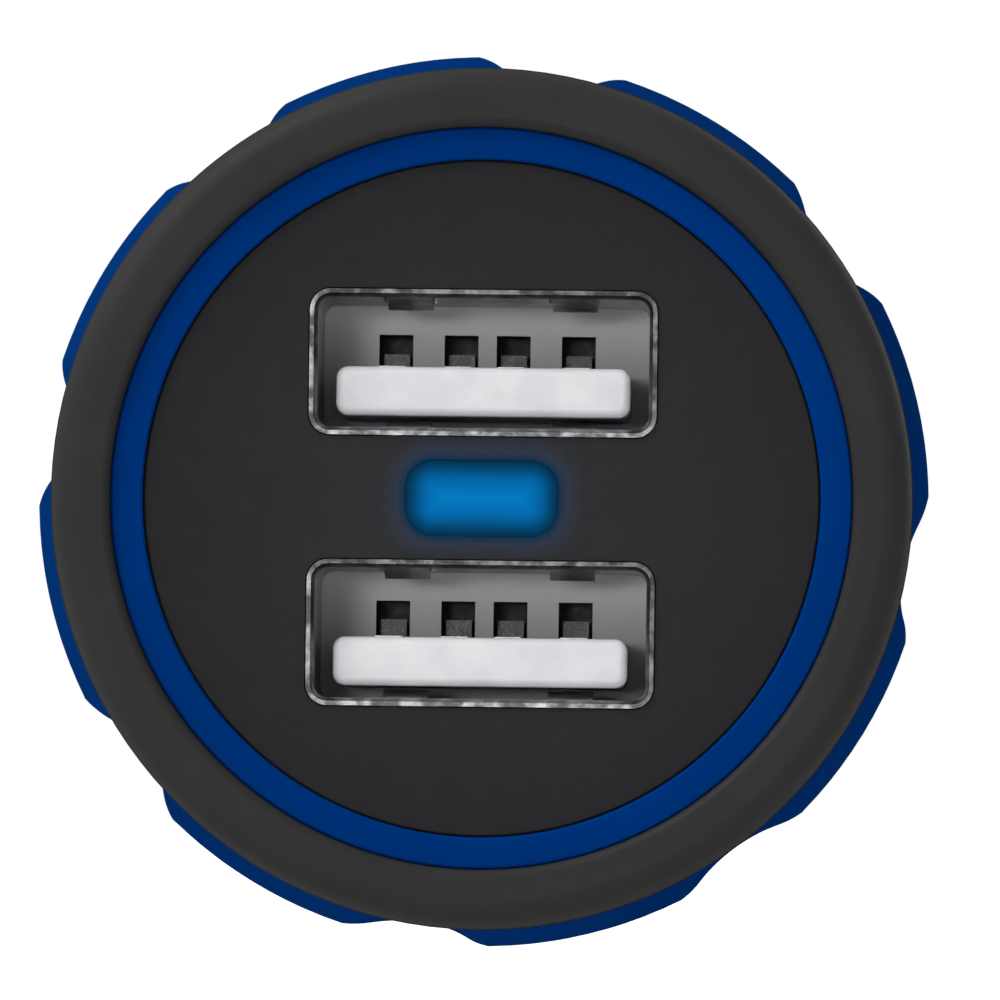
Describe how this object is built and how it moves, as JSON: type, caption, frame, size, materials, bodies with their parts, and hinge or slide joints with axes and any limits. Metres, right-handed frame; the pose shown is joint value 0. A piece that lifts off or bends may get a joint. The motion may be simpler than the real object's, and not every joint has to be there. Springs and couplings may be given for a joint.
{
  "type": "usb car charger",
  "caption": "Round-headed car charger: a lobed grip with stacked USB-A sockets and a lit window, on a plug with a sprung tip and side leaf contacts.",
  "frame": {"origin": "on the plug's axis, in the shoulder plane that meets the rim of the vehicle's socket", "axes": "+Y along the plug towards its sprung tip, the face with the USB sockets looks along -Y, +Z from the lower USB socket to the upper one"},
  "size_m": [0.0338, 0.0662, 0.0338],
  "materials": {
    "face_plastic": "fine matt texture",
    "blue_shell": "satin",
    "bezel_plastic": "soft satin",
    "window_plastic": "clear, lit from behind",
    "led_plastic": "clear",
    "port_steel": "nickel plated sheet",
    "insulator_plastic": "moulded",
    "contact_metal": "thin gold plating",
    "board_laminate": "solder mask",
    "component_plastic": "moulded",
    "ferrite": "sintered",
    "copper_wire": "enamelled wire",
    "capacitor_can": "drawn can",
    "ceramic": "fired",
    "housing_plastic": "fine spark texture",
    "nut_plastic": "satin",
    "plated_metal": "nickel plated",
    "spring_steel": "drawn wire"
  },
  "bodies": {
    "housing": {"face_plate": "face_plastic", "grip_sleeve": "blue_shell", "bezel_ring": "bezel_plastic", "indicator_window": "window_plastic", "status_led": "led_plastic", "upper_usb_shell": "port_steel", "upper_usb_insulator": "insulator_plastic", "upper_usb_contacts": "contact_metal", "lower_usb_shell": "port_steel", "lower_usb_insulator": "insulator_plastic", "lower_usb_contacts": "contact_metal", "port_board": "board_laminate", "power_board": "board_laminate", "link_header": "component_plastic", "link_pins": "contact_metal", "inductor_core": "ferrite", "inductor_winding": "copper_wire", "output_capacitor": "capacitor_can", "input_capacitor": "capacitor_can", "converter_chip": "component_plastic", "power_diode": "component_plastic", "ceramic_capacitors": "ceramic", "upper_housing": "housing_plastic", "lower_housing": "housing_plastic", "nose_nut": "nut_plastic", "tip_spring": "spring_steel", "contact_plate": "contact_metal"},
    "tip": {"tip_contact": "plated_metal"},
    "right_contact": {"right_ground_contact": "plated_metal"},
    "left_contact": {"left_ground_contact": "plated_metal"}
  },
  "joints": [
    {"name": "tip_press", "type": "slide", "parent": "housing", "child": "tip", "axis": [0, -1, 0], "range_m": [0, 0.0024], "stiffness_N_per_m": 800, "springref_m": -0.002, "deforming": ["tip_spring"]},
    {"name": "right_contact_press", "type": "hinge", "parent": "housing", "child": "right_contact", "pos_m": [0.00835, 0.0052, 0], "axis": [0, 0, 1], "range_deg": [0, 7.5], "stiffness_Nm_per_rad": 0.36, "springref_deg": -2.86},
    {"name": "left_contact_press", "type": "hinge", "parent": "housing", "child": "left_contact", "pos_m": [-0.00835, 0.0052, 0], "axis": [0, 0, -1], "range_deg": [0, 7.5], "stiffness_Nm_per_rad": 0.36, "springref_deg": -2.86}
  ]
}
